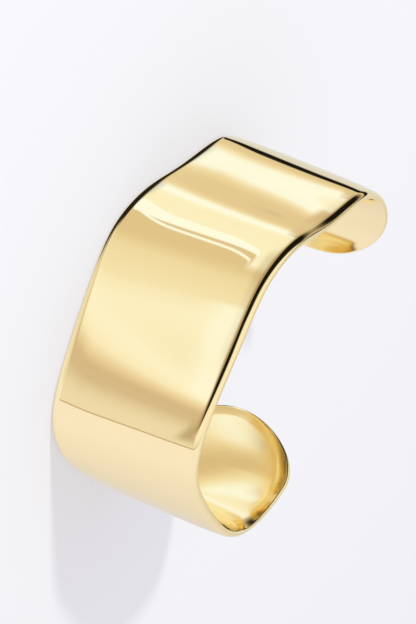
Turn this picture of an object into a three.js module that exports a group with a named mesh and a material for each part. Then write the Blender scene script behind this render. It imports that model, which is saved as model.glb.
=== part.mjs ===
// Open cuff bracelet: one band of polished gold, lying on its side.
// Millimetres, +Z up. The wrist passes along Z, the back of the cuff is towards -X and its gap
// opens towards +X. The far rim rests on Z = 0 and the near rim is on top.
import * as THREE from "three";
import { NURBSCurve } from "three/addons/curves/NURBSCurve.js";
import { ParametricGeometry } from "three/addons/geometries/ParametricGeometry.js";
import { mergeVertices } from "three/addons/utils/BufferGeometryUtils.js";

// Driving sizes
const CUFF_BREADTH = 61; // outer size across the wrist, along Y
const CUFF_DEPTH = 57; // outer size through the wrist, along X, of the ring that the cuff follows
const BAND_WIDTH_AT_CREST = 28.6; // width of the band on its +Y side
const BAND_WIDTH_AT_BASE = 25.3; // width of the band on its -Y side
const WALL = 1.8; // thickness along the middle of the band
const RIM = 1.4; // thickness at the rims
const EDGE_ROUND = 0.45; // rounding of the rims' corners
const SHOULDER = 6.5; // distance from a rim within which the outer face falls to it
const UPPER_TIP_TURN = 36; // degrees from +X to the tip of the upper end
const LOWER_TIP_TURN = 331; // degrees from +X to the tip of the lower end
const UPPER_END_LENGTH = 27.5; // length along the band over which the upper end narrows to its tip
const LOWER_END_LENGTH = 10.8; // the same for the lower end
const UPPER_END_FULLNESS = 2.55; // 2 is an ellipse, more is squarer
const LOWER_END_FULLNESS = 1.8;

// The ring that the band follows. Each row is a control point of the far rim and of the near rim:
// its turn from +X in degrees, and its reach as a share of the plain ellipse of the breadth and
// depth above. The low rows at 110 and 125 degrees are the hollow in the upper back.
const RING = [
  { turn: 0, far: 0.78, near: 0.79 },
  { turn: 20, far: 0.92, near: 0.97 },
  { turn: 40, far: 1.09, near: 1.18 },
  { turn: 60, far: 1.01, near: 1.05 },
  { turn: 80, far: 1.09, near: 1.02 },
  { turn: 95, far: 0.945, near: 0.965 },
  { turn: 110, far: 0.86, near: 0.855 },
  { turn: 125, far: 0.875, near: 0.86 },
  { turn: 140, far: 0.96, near: 0.97 },
  { turn: 160, far: 1.08, near: 1.05 },
  { turn: 180, far: 1.02, near: 0.96 },
  { turn: 200, far: 1.06, near: 1.05 },
  { turn: 220, far: 1.18, near: 1.16 },
  { turn: 240, far: 1.07, near: 1.03 },
  { turn: 260, far: 0.99, near: 1 },
  { turn: 280, far: 1.03, near: 1.07 },
  { turn: 300, far: 1.08, near: 1.02 },
  { turn: 320, far: 0.91, near: 0.91 },
  { turn: 340, far: 0.76, near: 0.77 },
  { turn: 360, far: 0.65, near: 0.65 },
];

// Facets: steps along each side of the outline, and rows from the middle of a face to the rim
const UPPER_END_STEPS = 18;
const SIDE_STEPS = 52;
const LOWER_END_STEPS = 12;
const CORNER_STEPS = 3;
const OUTER_ROWS = [1, 0.7, 0.42, 0.2]; // shares of the shoulder, from its inner limit to the rim
const INNER_ROWS = [0.3, 1]; // shares of the shoulder, from the rim to the middle

const GOLD = new THREE.MeshStandardMaterial({ color: 0xf3d997, metalness: 1, roughness: 0.12 });

// A smooth curve through the ring, for a rim or for the middle line between the two rims.
function ringCurve(reachOf) {
  const degree = 3;
  const points = RING.map((row) => {
    const turn = THREE.MathUtils.degToRad(row.turn);
    const across = Math.cos(turn) / (CUFF_DEPTH / 2);
    const along = Math.sin(turn) / (CUFF_BREADTH / 2);
    const reach = reachOf(row) / Math.hypot(across, along);
    return new THREE.Vector4(reach * Math.cos(turn), reach * Math.sin(turn), 0, 1);
  });
  const knots = Array.from({ length: points.length + degree + 1 }, (_, i) => i);
  return new NURBSCurve(degree, knots, points, degree, points.length);
}

const farRim = ringCurve((row) => row.far);
const nearRim = ringCurve((row) => row.near);
const middle = ringCurve((row) => (row.far + row.near) / 2);
middle.arcLengthDivisions = 2000;
const ringLength = middle.getLength();

// The length along the middle line from its start to a turn in degrees.
function lengthAtTurn(turn) {
  let low = 0;
  let high = 1;
  for (let i = 0; i < 40; i++) {
    const half = (low + high) / 2;
    const point = middle.getPointAt(half);
    const reached = (THREE.MathUtils.radToDeg(Math.atan2(point.y, point.x)) + 360) % 360;
    if (reached < turn) low = half;
    else high = half;
  }
  return low * ringLength;
}

const upperTip = lengthAtTurn(UPPER_TIP_TURN);
const lowerTip = lengthAtTurn(LOWER_TIP_TURN);
const sideStart = upperTip + UPPER_END_LENGTH;
const sideEnd = lowerTip - LOWER_END_LENGTH;

// Half the band's width where the middle line has this y.
function halfWidth(y) {
  const share = y / CUFF_BREADTH + 0.5;
  return THREE.MathUtils.lerp(BAND_WIDTH_AT_BASE, BAND_WIDTH_AT_CREST, share) / 2;
}

// The direction of the middle line at t, from a short chord round it.
function directionAt(t) {
  const step = 1e-4;
  const before = middle.getPoint(Math.max(0, t - step));
  return middle.getPoint(Math.min(1, t + step)).sub(before).normalize();
}

// Place a point of the flat blank on the bent band: the length along the middle line, the place
// across from -1 at the far rim to 1 at the near rim, and the depth below the outer face.
function bend(length, across, depth) {
  const t = middle.getUtoTmapping(0, length);
  const share = (across + 1) / 2;
  const line = middle.getPoint(t);
  const tangent = directionAt(t);
  const place = farRim.getPoint(t).lerp(nearRim.getPoint(t), share);
  return new THREE.Vector3(
    place.x - tangent.y * depth,
    place.y + tangent.x * depth,
    2 * halfWidth(line.y) * share,
  );
}

// A point of the blank's outline, at a share from the upper tip to the lower tip along one side,
// and the spine point that it faces. A rounded end is a superellipse, and its spine points are
// where the end's normals meet the middle line.
function outline(share, side) {
  const steps = share * (UPPER_END_STEPS + SIDE_STEPS + LOWER_END_STEPS);
  if (steps >= UPPER_END_STEPS && steps <= UPPER_END_STEPS + SIDE_STEPS) {
    const length = THREE.MathUtils.lerp(sideStart, sideEnd, (steps - UPPER_END_STEPS) / SIDE_STEPS);
    return { length, across: side, spine: length };
  }
  const upper = steps < UPPER_END_STEPS;
  const turned = upper ? steps / UPPER_END_STEPS : (steps - UPPER_END_STEPS - SIDE_STEPS) / LOWER_END_STEPS;
  const angle = ((upper ? turned : 1 - turned) * Math.PI) / 2;
  const power = 2 / (upper ? UPPER_END_FULLNESS : LOWER_END_FULLNESS);
  const reach = upper ? UPPER_END_LENGTH : LOWER_END_LENGTH;
  const half = (BAND_WIDTH_AT_CREST + BAND_WIDTH_AT_BASE) / 4;
  const towardsTip = upper ? -1 : 1;
  const root = upper ? sideStart : sideEnd;
  const spineReach = Math.max(0, (reach * reach - half * half) / reach);
  return {
    length: root + towardsTip * reach * Math.cos(angle) ** power,
    across: side * Math.sin(angle) ** power,
    spine: root + towardsTip * spineReach * Math.cos(angle),
  };
}

// Half the cross-section, from the middle of the outer face round the rim to the middle of the
// inner face: the inset from the rim in mm, and the depth below the outer face.
function crossSection() {
  const fall = WALL - RIM;
  const drop = (inset) => fall * (1 - inset / SHOULDER) ** 2;
  const rimTop = drop(EDGE_ROUND);
  const rows = [{ inset: Infinity, depth: 0 }];
  for (const share of OUTER_ROWS) {
    rows.push({ inset: share * SHOULDER, depth: drop(share * SHOULDER) });
  }
  for (let i = 0; i <= CORNER_STEPS; i++) {
    const angle = (i / CORNER_STEPS) * (Math.PI / 2);
    rows.push({
      inset: EDGE_ROUND * (1 - Math.sin(angle)),
      depth: rimTop + EDGE_ROUND * (1 - Math.cos(angle)),
    });
  }
  for (let i = 0; i <= CORNER_STEPS; i++) {
    const angle = (i / CORNER_STEPS) * (Math.PI / 2);
    rows.push({
      inset: EDGE_ROUND * (1 - Math.cos(angle)),
      depth: WALL - EDGE_ROUND * (1 - Math.sin(angle)),
    });
  }
  for (const share of INNER_ROWS) {
    rows.push({ inset: share * SHOULDER, depth: WALL });
  }
  rows.push({ inset: Infinity, depth: WALL });
  return rows;
}

const SECTION = crossSection();
const SHOULDER_SHARE = 0.9; // the most of the way to the spine that a shoulder takes

// The band's whole surface: round the outline with u, over the cross-section with v.
function surface(u, v, target) {
  const side = u < 0.5 ? 1 : -1;
  const edge = outline(side > 0 ? 2 * u : 2 - 2 * u, side);
  const row = SECTION[Math.round(v * (SECTION.length - 1))];
  const half = halfWidth(middle.getPoint(middle.getUtoTmapping(0, edge.length)).y);
  const wayIn = Math.hypot(edge.spine - edge.length, edge.across * half);
  const fit = Math.min(1, (SHOULDER_SHARE * wayIn) / SHOULDER);
  const rounded = Math.min(row.inset, EDGE_ROUND);
  const inset = rounded + (row.inset - rounded) * fit;
  const share = row.inset === Infinity ? 1 : inset / wayIn;
  const length = THREE.MathUtils.lerp(edge.length, edge.spine, share);
  target.copy(bend(length, edge.across * (1 - share), row.depth));
}

function bandGeometry() {
  const around = 2 * (UPPER_END_STEPS + SIDE_STEPS + LOWER_END_STEPS);
  const sheet = new ParametricGeometry(surface, around, SECTION.length - 1);
  sheet.deleteAttribute("normal");
  sheet.deleteAttribute("uv");
  const band = mergeVertices(sheet, 1e-3);
  band.computeBoundingBox();
  const centre = band.boundingBox.getCenter(new THREE.Vector3());
  band.translate(-centre.x, -centre.y, -band.boundingBox.min.z);
  band.computeVertexNormals();
  return band;
}

const bracelet = new THREE.Group();
const cuff = new THREE.Mesh(bandGeometry(), GOLD);
cuff.name = "cuff";
bracelet.add(cuff);

export default bracelet;
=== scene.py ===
# %% [markdown]
# # A polished gold cuff
#
# The bracelet is one band of yellow gold, bent into an open ring and polished like a mirror. It
# lies on its side: the far rim is down and the near rim is on top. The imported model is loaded
# first, because the finished band has to lie exactly where its solid does.

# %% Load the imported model
from math import atan2, cos, degrees, hypot, pi, radians, sin

import bmesh
import bpy
from mathutils import Matrix, Vector


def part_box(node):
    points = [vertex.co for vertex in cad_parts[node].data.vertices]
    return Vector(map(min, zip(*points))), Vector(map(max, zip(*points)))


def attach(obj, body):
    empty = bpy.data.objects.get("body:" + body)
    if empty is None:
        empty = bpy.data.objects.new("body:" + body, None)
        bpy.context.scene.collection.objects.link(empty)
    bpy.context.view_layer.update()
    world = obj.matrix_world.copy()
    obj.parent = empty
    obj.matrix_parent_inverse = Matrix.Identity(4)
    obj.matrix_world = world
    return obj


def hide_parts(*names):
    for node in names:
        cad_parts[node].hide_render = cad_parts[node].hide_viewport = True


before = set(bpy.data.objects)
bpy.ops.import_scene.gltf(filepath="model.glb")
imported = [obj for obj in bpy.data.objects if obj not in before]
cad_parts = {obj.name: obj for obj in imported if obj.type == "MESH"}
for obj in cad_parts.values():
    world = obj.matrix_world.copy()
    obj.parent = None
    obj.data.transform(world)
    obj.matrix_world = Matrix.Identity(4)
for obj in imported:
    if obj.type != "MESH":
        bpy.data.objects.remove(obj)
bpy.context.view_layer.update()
MM = 0.001

# %% [markdown]
# ## The ring
#
# A goldsmith cuts a flat blank, domes it and bends it round a mandrel. The mandrel here is a
# closed line of control points, each at a turn from the gap and at a reach from the middle. A
# smooth curve drawn through their influence, a cubic B-spline, has no kinks at all. That matters
# more than usual, since a mirror polish shows every change of curvature. The far and the near rim
# have a reach of their own, because the hollow in the upper back is deeper at the near rim.

# %% Sizes of the cuff in millimetres
CUFF_BREADTH = 61.0
CUFF_DEPTH = 57.0
WIDTH_AT_CREST = 28.6
WIDTH_AT_BASE = 25.3
WALL = 1.8
SHOULDER = 9.0
UPPER_TIP_TURN = 36.0
LOWER_TIP_TURN = 331.0
UPPER_END_LENGTH = 27.5
LOWER_END_LENGTH = 10.8
UPPER_END_FULLNESS = 2.55
LOWER_END_FULLNESS = 1.8

RING = [  # turn in degrees, reach of the far rim, reach of the near rim
    (0, 0.78, 0.79), (20, 0.92, 0.97), (40, 1.09, 1.18), (60, 1.01, 1.05), (80, 1.09, 1.02),
    (95, 0.945, 0.965), (110, 0.86, 0.855), (125, 0.875, 0.86), (140, 0.96, 0.97),
    (160, 1.08, 1.05), (180, 1.02, 0.96), (200, 1.06, 1.05), (220, 1.18, 1.16), (240, 1.07, 1.03),
    (260, 0.99, 1.0), (280, 1.03, 1.07), (300, 1.08, 1.02), (320, 0.91, 0.91), (340, 0.76, 0.77),
    (360, 0.65, 0.65),
]


# %% The ring as a smooth curve
def control_point(turn, reach):
    angle = radians(turn)
    plain = reach / hypot(cos(angle) * 2 / CUFF_DEPTH, sin(angle) * 2 / CUFF_BREADTH)
    return Vector((plain * cos(angle), plain * sin(angle)))


FAR_POINTS = [control_point(turn, far) for turn, far, near in RING]
NEAR_POINTS = [control_point(turn, near) for turn, far, near in RING]
MIDDLE_POINTS = [control_point(turn, (far + near) / 2) for turn, far, near in RING]
SPANS = len(RING) - 3


def on_curve(points, t):
    """The cubic B-spline's point at t, from 0 at its start to SPANS at its end."""
    span = min(int(t), SPANS - 1)
    s = t - span
    weights = ((1 - s) ** 3, 3 * s**3 - 6 * s**2 + 4, -3 * s**3 + 3 * s**2 + 3 * s + 1, s**3)
    return sum((points[span + i] * (w / 6) for i, w in enumerate(weights)), Vector((0, 0)))


def along_curve(points, t):
    """The direction in which the curve runs at t."""
    span = min(int(t), SPANS - 1)
    s = t - span
    weights = (-((1 - s) ** 2), 3 * s**2 - 4 * s, -3 * s**2 + 2 * s + 1, s**2)
    slope = sum((points[span + i] * w for i, w in enumerate(weights)), Vector((0, 0)))
    return slope.normalized()


STEPS_PER_SPAN = 200
LENGTHS = [0.0]
for step in range(1, SPANS * STEPS_PER_SPAN + 1):
    chord = on_curve(MIDDLE_POINTS, step / STEPS_PER_SPAN)
    chord -= on_curve(MIDDLE_POINTS, (step - 1) / STEPS_PER_SPAN)
    LENGTHS.append(LENGTHS[-1] + chord.length)


def t_at_length(length):
    """The t of the middle line's point at a length in mm from its start."""
    low, high = 0, len(LENGTHS) - 1
    while high - low > 1:
        half = (low + high) // 2
        low, high = (half, high) if LENGTHS[half] <= length else (low, half)
    share = (length - LENGTHS[low]) / (LENGTHS[high] - LENGTHS[low])
    return (low + share) / STEPS_PER_SPAN


def length_at_turn(turn):
    """The length from the middle line's start to where it has turned by so many degrees."""
    for step, length in enumerate(LENGTHS):
        point = on_curve(MIDDLE_POINTS, step / STEPS_PER_SPAN)
        if degrees(atan2(point.y, point.x)) % 360 >= turn:
            return length
    return LENGTHS[-1]


upper_tip = length_at_turn(UPPER_TIP_TURN)
lower_tip = length_at_turn(LOWER_TIP_TURN)
side_start = upper_tip + UPPER_END_LENGTH
side_end = lower_tip - LOWER_END_LENGTH
print(f"the band is {lower_tip - upper_tip:.1f} mm long from tip to tip")


# %% [markdown]
# ## The flat blank
#
# Laid flat, the band is a long strip with rounded ends. Its outline is followed by rings of
# points, one inside the other, that shrink onto a spine along the middle. Rings that run along
# the outline are the right choice for a smooth rim: the rounding goes round the tips as evenly as
# along the sides. Straight rows across the strip would bunch up at the tips and pinch the polish.

# %% The blank's outline and spine
UPPER_END_STEPS = 26
SIDE_STEPS = 74
LOWER_END_STEPS = 18
SIDE_TOTAL = UPPER_END_STEPS + SIDE_STEPS + LOWER_END_STEPS
AROUND = 2 * SIDE_TOTAL
MEAN_HALF_WIDTH = (WIDTH_AT_CREST + WIDTH_AT_BASE) / 4
LEAST_SPINE_REACH = 0.45  # share of an end's length that its spine reaches at least


def half_width(y):
    share = y / CUFF_BREADTH + 0.5
    return (WIDTH_AT_BASE + (WIDTH_AT_CREST - WIDTH_AT_BASE) * share) / 2


def outline(step):
    """A point of the outline: its length, its place across from -1 to 1, and its spine point."""
    side = 1 if step < SIDE_TOTAL else -1
    steps = step if side > 0 else AROUND - step
    if UPPER_END_STEPS <= steps <= UPPER_END_STEPS + SIDE_STEPS:
        share = (steps - UPPER_END_STEPS) / SIDE_STEPS
        length = side_start + (side_end - side_start) * share
        return length, side, length
    if steps < UPPER_END_STEPS:
        angle = steps / UPPER_END_STEPS * pi / 2
        root, towards_tip, reach, fullness = side_start, -1, UPPER_END_LENGTH, UPPER_END_FULLNESS
    else:
        angle = (SIDE_TOTAL - steps) / LOWER_END_STEPS * pi / 2
        root, towards_tip, reach, fullness = side_end, 1, LOWER_END_LENGTH, LOWER_END_FULLNESS
    spine = max((reach**2 - MEAN_HALF_WIDTH**2) / reach, LEAST_SPINE_REACH * reach)
    length = root + towards_tip * reach * cos(angle) ** (2 / fullness)
    return length, side * max(0.0, sin(angle)) ** (2 / fullness), root + towards_tip * spine * cos(angle)


# %% [markdown]
# ## The cross-section
#
# Cut across, the wall is 1.8 mm thick. The outer face is gently crowned: near a rim it falls
# 0.4 mm over a 9 mm shoulder. There it rolls over into the rim with a large soft radius, and the
# polish shows that roll as a dark line with a pale one outside it. The inner corner is smaller,
# and the inside is straight with eased edges, which jewellers call a comfort fit. Half of that
# section is written once, as insets from the rim and depths below the outer face.

# %% Half the cross-section
FALL = 0.4
EASE = 0.35
EASE_WIDTH = 2.4
OUTER_ROLL = 1.35  # how far in from the rim the outer face rolls over
RIM_LINE = 1.1  # depth of the rim's outermost line
INNER_ROUND = 0.45
OUTER_STEPS = 6
INNER_STEPS = 4
OUTER_INSETS = [11.6, 9.6, 7.6, 5.8, 4.2, 2.9, 2.0]
INNER_INSETS = [0.9, 1.5, 2.1, 3.0, 5.2, 8.4, 11.6]
TO_SPINE = None


def crown_drop(inset):
    return FALL * max(0.0, 1 - inset / SHOULDER) ** 3


def inner_depth(inset):
    return WALL - EASE * max(0.0, 1 - inset / EASE_WIDTH) ** 2


roll_top = crown_drop(OUTER_ROLL)
roll_slope = 3 * FALL / SHOULDER * (1 - OUTER_ROLL / SHOULDER) ** 2
roll_start = atan2(roll_slope * OUTER_ROLL, RIM_LINE - roll_top)
SECTION = [(TO_SPINE, 0.0)]
SECTION += [(inset, crown_drop(inset)) for inset in OUTER_INSETS]
for step in range(OUTER_STEPS + 1):
    angle = roll_start + step / OUTER_STEPS * (pi / 2 - roll_start)
    sink = (cos(roll_start) - cos(angle)) / cos(roll_start)
    SECTION.append((OUTER_ROLL * (1 - sin(angle)), roll_top + (RIM_LINE - roll_top) * sink))
for step in range(1, INNER_STEPS + 1):
    angle = step / INNER_STEPS * pi / 2
    sink = (inner_depth(INNER_ROUND) - RIM_LINE) * sin(angle)
    SECTION.append((INNER_ROUND * (1 - cos(angle)), RIM_LINE + sink))
SECTION += [(inset, inner_depth(inset)) for inset in INNER_INSETS]
SECTION.append((TO_SPINE, WALL))
print("rows in the cross-section:", len(SECTION))


# %% [markdown]
# ## Bending the blank
#
# Bending takes a point of the blank to the ring: its length is walked along the middle line, its
# place across picks a spot between the two rims, and its depth is taken inwards at a right angle.

# %% Bend a point of the blank
def bend(length, across, depth):
    t = t_at_length(length)
    share = (across + 1) / 2
    place = on_curve(FAR_POINTS, t).lerp(on_curve(NEAR_POINTS, t), share)
    run = along_curve(MIDDLE_POINTS, t)
    height = 2 * half_width(on_curve(MIDDLE_POINTS, t).y) * share
    return Vector((place.x - run.y * depth, place.y + run.x * depth, height)) * MM


INSET_STRAIGHT = 0.5  # how far of the way to the spine a ring's path keeps to the outline's normal
FULL_WAY = 12.6  # mm from the rim to the spine that the listed insets are meant for


def ring_point(step, inset, depth):
    """Where the outline's point goes when it is drawn in by the inset and sunk by the depth."""
    length, across, spine = outline(step)
    half = half_width(on_curve(MIDDLE_POINTS, t_at_length(length)).y)
    edge = Vector((length, across * half))
    goal = Vector((spine, 0.0))
    way = (goal - edge).length
    if inset is TO_SPINE:
        return bend(spine, 0.0, depth)
    rounded = min(inset, OUTER_ROLL)
    inset = rounded + (inset - rounded) * min(1.0, way / FULL_WAY)
    before, after = outline((step - 1) % AROUND), outline((step + 1) % AROUND)
    run = Vector((after[0] - before[0], (after[1] - before[1]) * half)).normalized()
    inwards = Vector((run.y, -run.x))
    share = inset / way
    bow = edge + inwards * way * INSET_STRAIGHT
    spot = edge * (1 - share) ** 2 + bow * 2 * share * (1 - share) + goal * share**2
    return bend(spot.x, spot.y / half, depth)


# %% [markdown]
# ## Modelling the band
#
# A circle of points is the start. It is laid along the spine of the outer face, and its edges are
# extruded ring by ring over the crown, round the rim and back along the inside. Where both halves
# of a ring meet on the spine, the doubled points are merged, which closes the seam. A Subdivision
# Surface then rounds the cage, and its result is again a cubic B-spline, smooth in every mirror.

# %% Extrude the rings
MERGE_WITHIN = 0.002 * MM


def lay_ring(mesh, row):
    """Move the selected ring of points to its row of the cross-section."""
    number = mesh.verts.layers.int["outline"]
    for vertex in mesh.verts:
        if vertex.select:
            vertex.co = ring_point(vertex[number], *row)


bpy.ops.object.select_all(action="DESELECT")
bpy.ops.mesh.primitive_circle_add(vertices=AROUND, radius=CUFF_BREADTH / 2 * MM)
band = bpy.context.object
band.name = band.data.name = "cuff_band"
bpy.ops.object.mode_set(mode="EDIT")
bpy.ops.mesh.select_all(action="SELECT")
cage = bmesh.from_edit_mesh(band.data)
cage.verts.layers.int.new("outline")
number = cage.verts.layers.int["outline"]
for index, vertex in enumerate(cage.verts):
    vertex[number] = index
lay_ring(cage, SECTION[0])
for row in SECTION[1:]:
    bpy.ops.mesh.extrude_edges_move()
    cage = bmesh.from_edit_mesh(band.data)
    lay_ring(cage, row)
bmesh.update_edit_mesh(band.data)
bpy.ops.mesh.select_all(action="SELECT")
bpy.ops.mesh.remove_doubles(threshold=MERGE_WITHIN)
bpy.ops.mesh.normals_make_consistent(inside=False)
bpy.ops.object.mode_set(mode="OBJECT")
print("faces in the cage:", len(band.data.polygons))

# %% Move the band to the solid's place and smooth it
low = [min(v.co[i] for v in band.data.vertices) for i in range(3)]
high = [max(v.co[i] for v in band.data.vertices) for i in range(3)]
cad_low, cad_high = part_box("cuff")
shift = Vector((
    (cad_low[0] + cad_high[0] - low[0] - high[0]) / 2,
    (cad_low[1] + cad_high[1] - low[1] - high[1]) / 2,
    cad_low[2] - low[2],
))
band.data.transform(Matrix.Translation(shift))
smooth = band.modifiers.new("smooth", "SUBSURF")
smooth.levels = smooth.render_levels = 2
bpy.ops.object.modifier_apply(modifier=smooth.name)
bpy.ops.object.shade_smooth()
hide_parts("cuff")
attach(band, "root")
print("the band has", len(band.data.polygons), "faces, moved by", [round(v / MM, 2) for v in shift])


# %% [markdown]
# ## Shader maths as sums
#
# Node trees are easier to read as formulas. This small class wraps a socket, so that adding or
# multiplying two of them makes the Math node that does it. Every other node comes from node().

# %% The socket class
class Wire:
    def __init__(self, tree, socket=None):
        self.tree, self.socket = tree, socket

    def node(self, kind, settings=None, inputs=None, output=0):
        made = self.tree.nodes.new(kind)
        for name, value in (settings or {}).items():
            if name == "stops":
                for _ in value[2:]:
                    made.color_ramp.elements.new(0.5)
                for element, (place, colour) in zip(made.color_ramp.elements, value):
                    element.position, element.color = place, (*colour, 1.0)
            else:
                setattr(made, name, value)
        for name, value in (inputs or {}).items():
            if isinstance(value, Wire):
                self.tree.links.new(value.socket, made.inputs[name])
            else:
                made.inputs[name].default_value = value
        return Wire(self.tree, made.outputs[output] if made.outputs else None)

    def math(self, operation, *values):
        return self.node("ShaderNodeMath", {"operation": operation}, dict(enumerate(values)))

    def __add__(self, other):
        return self.math("ADD", self, other)

    def __sub__(self, other):
        return self.math("SUBTRACT", self, other)

    def __rsub__(self, other):
        return self.math("SUBTRACT", other, self)

    def __mul__(self, other):
        return self.math("MULTIPLY", self, other)

    def __truediv__(self, other):
        return self.math("DIVIDE", self, other)

    __radd__, __rmul__ = __add__, __mul__


def outlet(wire, name):
    """Another output of the node that a wire comes from."""
    return Wire(wire.tree, wire.socket.node.outputs[name])


def over(value):
    """The value where it is above 0, and 0 elsewhere."""
    return value.math("MAXIMUM", value, 0.0)


def rise(value, low, high):
    """0 below low, 1 above high and a soft step between."""
    return value.node("ShaderNodeMapRange", {"interpolation_type": "SMOOTHSTEP"}, {
        "Value": value, "From Min": low, "From Max": high,
    })


# %% [markdown]
# ## Polished gold
#
# Gold is a metal, so its colour is the colour of its mirror. Used polish is never perfect: a
# faint haze from the buffing wheel and fine wiping scratches make the mirror a little softer in
# places. Both are noise in the roughness, with a trace of relief. The wheel can't get well into
# the two ends where they curl in, so the polish is softer there.

# %% The gold
gold = bpy.data.materials.new("polished_gold")
gold.use_nodes = True
gold.node_tree.nodes.clear()
start = Wire(gold.node_tree)
place = start.node("ShaderNodeTexCoord", output="Object")
haze = start.node("ShaderNodeTexNoise", inputs={"Vector": place, "Scale": 90.0, "Detail": 3.0})
stretched = start.node("ShaderNodeMapping", inputs={"Vector": place, "Scale": (300.0, 300.0, 9000.0)})
wipes = start.node("ShaderNodeTexNoise", inputs={"Vector": stretched, "Scale": 1.0, "Detail": 2.0})
SOFT_POLISH = (6 * MM, 14 * MM)  # ahead of the middle, where the polish turns softer
UPPER_LAG = 0.45  # how much later that is per length along Y, in the upper end
sides = start.node("ShaderNodeSeparateXYZ", inputs={"Vector": place})
into_ends = outlet(sides, "X") - over(outlet(sides, "Y")) * UPPER_LAG
curled_in = rise(into_ends, *SOFT_POLISH)
roughness = 0.03 + haze * 0.02 + wipes * 0.012 + curled_in * 0.1
relief = start.node("ShaderNodeBump", inputs={"Height": wipes, "Strength": 0.004, "Distance": 0.0001})
metal = start.node("ShaderNodeBsdfPrincipled", inputs={
    "Base Color": (0.98, 0.83, 0.46, 1.0), "Metallic": 1.0, "Roughness": roughness, "Normal": relief,
})
start.node("ShaderNodeOutputMaterial", inputs={"Surface": metal})
band.data.materials.clear()
band.data.materials.append(gold)

# %% [markdown]
# ## Floor
#
# A plain pale sheet. It takes the shadow, but the gold doesn't mirror it: the gold mirrors the
# studio's walls instead, as it does over a glass table. Nearly half of its brightness is its own,
# like a light table's, which keeps the shadow pale.

# %% The floor
bpy.ops.mesh.primitive_plane_add(size=6.0, location=(0, 0, 0))
floor = bpy.context.object
floor.name = "floor"
floor.visible_glossy = False
paper = bpy.data.materials.new("paper")
paper.use_nodes = True
paper_shader = paper.node_tree.nodes["Principled BSDF"]
paper_shader.inputs["Base Color"].default_value = (0.45, 0.45, 0.465, 1.0)
paper_shader.inputs["Emission Color"].default_value = (0.395, 0.39, 0.42, 1.0)
paper_shader.inputs["Emission Strength"].default_value = 1.0
paper_shader.inputs["Roughness"].default_value = 1.0
paper_shader.inputs["Specular IOR Level"].default_value = 0.0
floor.data.materials.append(paper)

# %% [markdown]
# ## Camera
#
# The camera looks at the back of the cuff from a little above it, from far away through a long
# lens, and it is rolled so that the wrist's axis runs across the picture.

# %% The camera
AIM = Vector((5.4, 2.2, 7.8)) * MM
VIEW_DISTANCE = 597.7 * MM
VIEW_HEADING = radians(-1.5)
VIEW_ELEVATION = radians(21.96)
VIEW_ROLL = radians(110.33)
LENS_PER_HEIGHT = 3676.3 / 624  # focal length over the picture's height

look = Vector((
    cos(VIEW_ELEVATION) * cos(VIEW_HEADING), cos(VIEW_ELEVATION) * sin(VIEW_HEADING), -sin(VIEW_ELEVATION)
))
bpy.ops.object.camera_add(location=AIM - look * VIEW_DISTANCE)
camera = bpy.context.object
level = look.to_track_quat("-Z", "Y").to_matrix().to_4x4()
camera.matrix_world = Matrix.Translation(camera.location) @ level @ Matrix.Rotation(VIEW_ROLL, 4, "Z")
camera.data.sensor_fit = "VERTICAL"
camera.data.sensor_height = 24.0
camera.data.lens = 24.0 * LENS_PER_HEIGHT
camera.data.clip_start = 0.01
bpy.context.scene.camera = camera

# %% [markdown]
# ## The studio in the mirror
#
# Polished gold has no shading of its own: what gives it form are the bright and dark things round
# it. A photographer builds them from softboxes, white card and black flags. Here they are painted
# on the sky by their direction, so they keep to no place and suit a view from any side. A compass
# turn picks the card, as the band bends from one to the next, and the height above or below the
# horizon picks what the shoulders and rims show. Only mirror rays see the studio.

# %% Compass turn and height of a direction
world = bpy.data.worlds.new("studio")
bpy.context.scene.world = world
world.use_nodes = True
world.node_tree.nodes.clear()
sky = Wire(world.node_tree)
direction = sky.node("ShaderNodeTexCoord", output="Generated")
split = sky.node("ShaderNodeSeparateXYZ", inputs={"Vector": direction})
turn = sky.math("ARCTAN2", -1 * outlet(split, "Y"), -1 * outlet(split, "X")) * (180 / pi) + 180
height = sky.math("ARCSINE", outlet(split, "Z")) * (180 / pi)


def ridge(value, centre, half, soft):
    """1 within half of the centre, falling softly to 0."""
    away = value.math("ABSOLUTE", value - centre)
    return 1 - rise(away, half, half + soft)


def painted(below, colour, mask):
    """A colour laid over another one where the mask is 1."""
    return sky.node("ShaderNodeMix", {"data_type": "RGBA"}, {"Factor": mask, "A": below, "B": colour}, 2)


# %% The cards round the compass
CREST_CARDS = [  # compass turn in degrees, colour of the light
    (0, (0.77, 0.75, 0.62)), (8, (0.79, 0.81, 0.78)), (20, (0.78, 0.82, 0.87)),
    (38, (0.77, 0.78, 0.90)), (50, (0.78, 0.68, 0.55)), (55, (0.81, 0.71, 0.57)),
    (58, (0.87, 0.80, 0.69)), (60, (0.94, 0.91, 0.87)), (62.5, (1.01, 1.13, 1.42)),
    (67.5, (1.02, 1.16, 1.50)), (70.5, (1.01, 1.06, 1.17)), (75, (1.00, 1.03, 1.08)),
    (90, (1.00, 1.04, 1.12)), (140, (1.00, 1.05, 1.15)),
]
BACK_CARDS = [
    (90, (0.76, 0.66, 0.53)), (130, (0.77, 0.67, 0.54)), (142, (0.82, 0.74, 0.62)),
    (153, (0.89, 0.83, 0.75)), (170, (0.92, 0.88, 0.82)), (177, (0.93, 0.91, 0.88)),
    (182, (0.98, 0.99, 1.03)), (186, (1.01, 1.06, 1.21)), (189.5, (1.00, 1.01, 1.07)),
    (193, (0.84, 0.75, 0.66)), (196, (0.68, 0.57, 0.48)), (201, (0.69, 0.59, 0.51)),
    (208, (0.81, 0.75, 0.71)), (215, (0.87, 0.83, 0.83)), (230, (0.89, 0.85, 0.85)),
]
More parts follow.
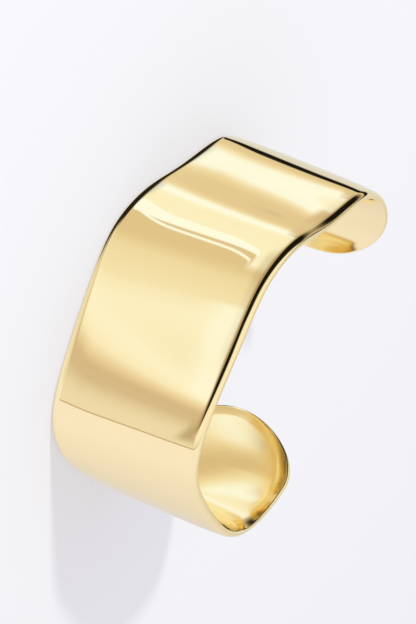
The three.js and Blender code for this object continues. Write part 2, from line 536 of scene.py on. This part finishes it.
BASE_CARDS = [
    (200, (0.98, 0.96, 1.09)), (260, (0.97, 0.95, 1.09)), (290, (0.94, 0.91, 1.02)),
    (312, (0.90, 0.86, 0.92)), (330, (0.82, 0.78, 0.76)), (345, (0.76, 0.72, 0.74)),
    (360, (0.77, 0.74, 0.66)),
]
DARK = (0.010, 0.009, 0.008, 1.0)
FAR_DARK = (0.02, 0.015, 0.012, 1.0)
LOW_DARK = (0.02, 0.02, 0.02, 1.0)
BROWN = (0.46, 0.36, 0.25, 1.0)
LINE = (0.55, 0.42, 0.30, 1.0)
TAN = (0.76, 0.66, 0.53, 1.0)
CREAM = (1.0, 0.98, 0.98, 1.0)
GLINT = (1.02, 1.15, 1.46, 1.0)
BRIGHT = (1.02, 1.17, 1.55, 1.0)


def cards(listed, where):
    stops = [(place / 360, colour) for place, colour in listed]
    return sky.node("ShaderNodeValToRGB", {"stops": stops}, {"Fac": where / 360})


# %% [markdown]
# ## The strip light
#
# A long strip light hangs above the wall behind the cuff, and a thin second one under it. In the
# hollow of the band they show as a bright stroke with a fine line below. The strip leans, since
# the surface turns as it runs towards the near rim, and it bends away at both ends.

# %% The strip light above the wall behind the cuff
STRIP_HEIGHT = -22.5  # degrees, the height at which the strip's turns are given
STRIP_LEAN = 2.1  # degrees of turn per degree of height
STRIP_TAPER = 0.95
STRIP_START = (91.4, 92.8)
STRIP_END = 102.2
SECOND_STRIP = 107.2
WALL_START = (109.2, 110.6)
CORNER = (122.0, 138.0)
LOW_BEND_FROM, LOW_BEND = -29.5, 5.0
HIGH_BEND_FROM, HIGH_BEND = -17.0, 7.0
CREST_BOW_FROM, CREST_BOW = -22.4, 1.2
WALL_BOW_FROM, WALL_BOW = -24.0, 0.08

above_strip = height - STRIP_HEIGHT
low_bend = over(LOW_BEND_FROM - height)
high_bend = over(height - HIGH_BEND_FROM)
straight = turn - above_strip * STRIP_LEAN
leaning = straight + low_bend * low_bend * LOW_BEND - high_bend * high_bend * HIGH_BEND
strip_end = STRIP_END - above_strip * STRIP_TAPER
past_corner = rise(turn, *CORNER)
before_corner = 1 - past_corner
crest_bow = over(CREST_BOW_FROM - height) * CREST_BOW
studio = cards(CREST_CARDS, turn + crest_bow)
studio = painted(studio, BRIGHT, rise(leaning, *STRIP_START) * before_corner)
studio = painted(studio, TAN, rise(leaning - strip_end, 0.0, 1.5) * before_corner)
studio = painted(studio, BRIGHT, ridge(leaning, SECOND_STRIP, 1.0, 1.2) * before_corner)

# %% The wall, bowed at its foot, with a brighter patch high on it
low_part = over(WALL_BOW_FROM - height)
bowed = turn + low_part * low_part * WALL_BOW
on_wall = sky.math("MAXIMUM", rise(leaning, *WALL_START), past_corner)
studio = painted(studio, cards(BACK_CARDS, bowed), on_wall)
PATCH_TURN = 183.5
PATCH_RISE = (-18.5, -12.0)
patch = ridge(turn, PATCH_TURN, 4.0, 4.0) * rise(height, *PATCH_RISE) * 0.7
studio = painted(studio, GLINT, patch)

# %% [markdown]
# ## The edge of the wall
#
# The wall stops at a straight edge, and the pale cards of the base begin. A fine brown line runs
# along that edge and turns up round both corners. It is a gap between two boards, nothing more,
# but it is the sharpest thing in the mirror and shows how good the polish is.

# %% The edge of the wall, with a fine line round its lower corners
WALL_END = (227.0, 227.6)
WALL_FOOT = (-31.0, -30.7)
FOOT_FADE = (206.0, 218.0)
END_LINE, FOOT_LINE = 227.2, -30.8
past_end = rise(turn, *WALL_END)
past_foot = (1 - rise(height, *WALL_FOOT)) * rise(turn, *FOOT_FADE)
outside = sky.math("MAXIMUM", past_end, past_foot)
studio = painted(studio, cards(BASE_CARDS, turn), outside)
end_line = ridge(turn, END_LINE, 0.45, 0.5) * rise(height, -32.0, -31.0)
foot_span = rise(turn, 208.0, 218.0) * (1 - rise(turn, 227.0, 228.0))
foot_line = ridge(height, FOOT_LINE, 0.12, 0.15) * foot_span
studio = painted(studio, LINE, sky.math("MAXIMUM", end_line, foot_line))

# %% [markdown]
# ## Black flags
#
# Black makes gold look polished. A narrow flag beside the first white card draws the line along
# the crest, where the band turns away. A dark gap at the horizon draws the line along the near
# rim: from the wall upwards it goes tan, brown, black and then cream again on the rim itself. Two
# more flags, low down, edge the far side.

# %% The black flag at the crest
FLAG_START = (40.5, 43.5)
FLAG_END = (49.6, 51.2)
FLAG_FOOT = (-27.0, -25.5)
FLAG_BEND_FROM, FLAG_BEND = -22.0, 2.0
flag_turn = turn + over(FLAG_BEND_FROM - height) * FLAG_BEND
flag = rise(flag_turn, *FLAG_START) * (1 - rise(flag_turn, *FLAG_END))
studio = painted(studio, DARK, flag * rise(height, *FLAG_FOOT))

# %% The dark gap at the horizon
GAP_FROM, GAP_SLOPE, GAP_TURN = -14.0, 0.09, 70.0  # its lower edge, and where that is measured
GAP_DROP, GAP_DROP_TURN = 0.35, 185.0
GAP_TO, GAP_CLOSES = 36.0, 42.0
CLOSING = (178.0, 214.0)
gap_from = (turn - GAP_TURN) * GAP_SLOPE + GAP_FROM - over(turn - GAP_DROP_TURN) * GAP_DROP
gap_to = GAP_TO - rise(turn, *CLOSING) * GAP_CLOSES
behind = rise(turn, 50.0, 66.0) * (1 - rise(turn, 214.0, 226.0))
studio = painted(studio, CREAM, rise(height - gap_to, -6.0, 6.0) * behind)
into_gap = height - gap_from
under_cream = 1 - rise(height - gap_to, -10.0, 2.0)
near_crest = (1 - rise(turn, 66.0, 69.0)) * rise(turn, 50.0, 54.0)
studio = painted(studio, TAN, rise(into_gap, -3.4, -1.4) * near_crest * under_cream)
wider = rise(turn, 80.0, 110.0) * 2.0
studio = painted(studio, BROWN, rise(into_gap + wider, -3.2, 1.2) * under_cream * behind)
gap_top = 1 - rise(height - gap_to, -12.0, 2.0)
studio = painted(studio, DARK, rise(into_gap, 1.0, 5.0) * gap_top * behind)

# %% The dark flags on the far side
FAR_FLAG_TOP, FAR_FLAG_SLOPE, FAR_FLAG_TURN = -27.2, 0.1, 58.0
LOW_FLAG_TOP = (-60.0, -38.0)
far_flag_edge = height - FAR_FLAG_TOP + over(turn - FAR_FLAG_TURN) * FAR_FLAG_SLOPE
far_span = rise(turn, 20.0, 30.0) * (1 - rise(turn, 100.0, 135.0))
studio = painted(studio, FAR_DARK, (1 - rise(far_flag_edge, -1.2, 0.8)) * far_span)
low_span = rise(turn, 10.0, 40.0) * (1 - rise(turn, 90.0, 200.0))
studio = painted(studio, LOW_DARK, (1 - rise(height, *LOW_FLAG_TOP)) * low_span)

# %% Only mirror rays see the studio
ROOM_LIGHT = (0.965, 0.955, 1.0, 1.0)
ROOM_STRENGTH = 0.87
is_mirror = outlet(sky.node("ShaderNodeLightPath"), "Is Glossy Ray")
plain = sky.node("ShaderNodeBackground", inputs={"Color": ROOM_LIGHT, "Strength": ROOM_STRENGTH})
mirrored = sky.node("ShaderNodeBackground", inputs={"Color": studio, "Strength": 1.0})
both = sky.node("ShaderNodeMixShader", inputs={"Fac": is_mirror, 1: plain, 2: mirrored})
sky.node("ShaderNodeOutputWorld", inputs={"Surface": both})
bpy.context.scene.view_settings.view_transform = "Standard"

# %% [markdown]
# ## A card in the hollow
#
# The inside of the lower end mirrors what lies within the ring, which no card outside can reach.
# A photographer slides a small card in there. This one is no plain card: it glows with painted
# light of its own, shading slantwise from white over tan to white again, and only mirror rays see
# it, so the bands it leaves inside the lower end are painted reflections. Light that it sends
# round the curl by two mirrors comes back a deep orange, since the gold colours it twice.

# %% The glowing card in the hollow, whose painted light only mirror rays see
CARD_RADIUS = 23 * MM
CARD_LIFT = 0.2 * MM
CARD_SLANT = 0.6
CARD_FROM, CARD_SPAN = -20, 60  # slantwise places in mm
CARD_SHADES = [  # slantwise place in mm, colour of the light
    (-18, (1.00, 1.03, 1.12)), (-15, (1.01, 1.08, 1.25)), (-12.5, (1.01, 1.15, 1.50)),
    (-10, (1.01, 1.06, 1.18)), (-8, (0.95, 0.91, 0.88)), (-6, (0.85, 0.77, 0.62)),
    (-3, (0.75, 0.64, 0.49)), (1, (0.70, 0.59, 0.44)), (5, (0.72, 0.60, 0.45)),
    (8, (0.84, 0.74, 0.60)), (12, (0.92, 0.87, 0.73)), (17, (1.01, 1.10, 1.30)),
    (22, (1.02, 1.17, 1.55)),
]

bpy.ops.mesh.primitive_circle_add(
    vertices=48, radius=CARD_RADIUS, fill_type="NGON", location=(0, 0, CARD_LIFT)
)
card = bpy.context.object
card.name = "glowing_card_in_hollow"
card.visible_camera = card.visible_diffuse = card.visible_shadow = False
card_glow_material = bpy.data.materials.new("glowing_card")
card_glow_material.use_nodes = True
card_glow_material.node_tree.nodes.clear()
board = Wire(card_glow_material.node_tree)
spot = board.node("ShaderNodeTexCoord", output="Object")
sides = board.node("ShaderNodeSeparateXYZ", inputs={"Vector": spot})
slant = outlet(sides, "Y") + outlet(sides, "X") * CARD_SLANT
stops = [((place - CARD_FROM) / CARD_SPAN, colour) for place, colour in CARD_SHADES]
card_place = slant / (CARD_SPAN * MM) - CARD_FROM / CARD_SPAN
# The card's painted glow: slantwise bands of light, which the gold shows as painted reflections.
shade = board.node("ShaderNodeValToRGB", {"stops": stops}, {"Fac": card_place})
glow = board.node("ShaderNodeBsdfPrincipled", inputs={
    "Base Color": (0.0, 0.0, 0.0, 1.0), "Emission Color": shade, "Emission Strength": 1.0,
    "Specular IOR Level": 0.0,
})
board.node("ShaderNodeOutputMaterial", inputs={"Surface": glow})
card.data.materials.append(card_glow_material)

# %% [markdown]
# ## The shadow's light
#
# One small soft light, high up between the cuff's back and its upper arm, draws the shadow that
# ties the cuff to the floor. The gold doesn't mirror it.

# %% The soft light
bpy.ops.object.light_add(type="AREA", location=(-0.62, 0.66, 0.66))
soft_light = bpy.context.object
soft_light.data.size = 0.08
soft_light.data.energy = 7.2
soft_light.data.color = (0.97, 1.0, 0.86)
soft_light.rotation_euler = (-soft_light.location).to_track_quat("-Z", "Y").to_euler()
soft_light.visible_glossy = False
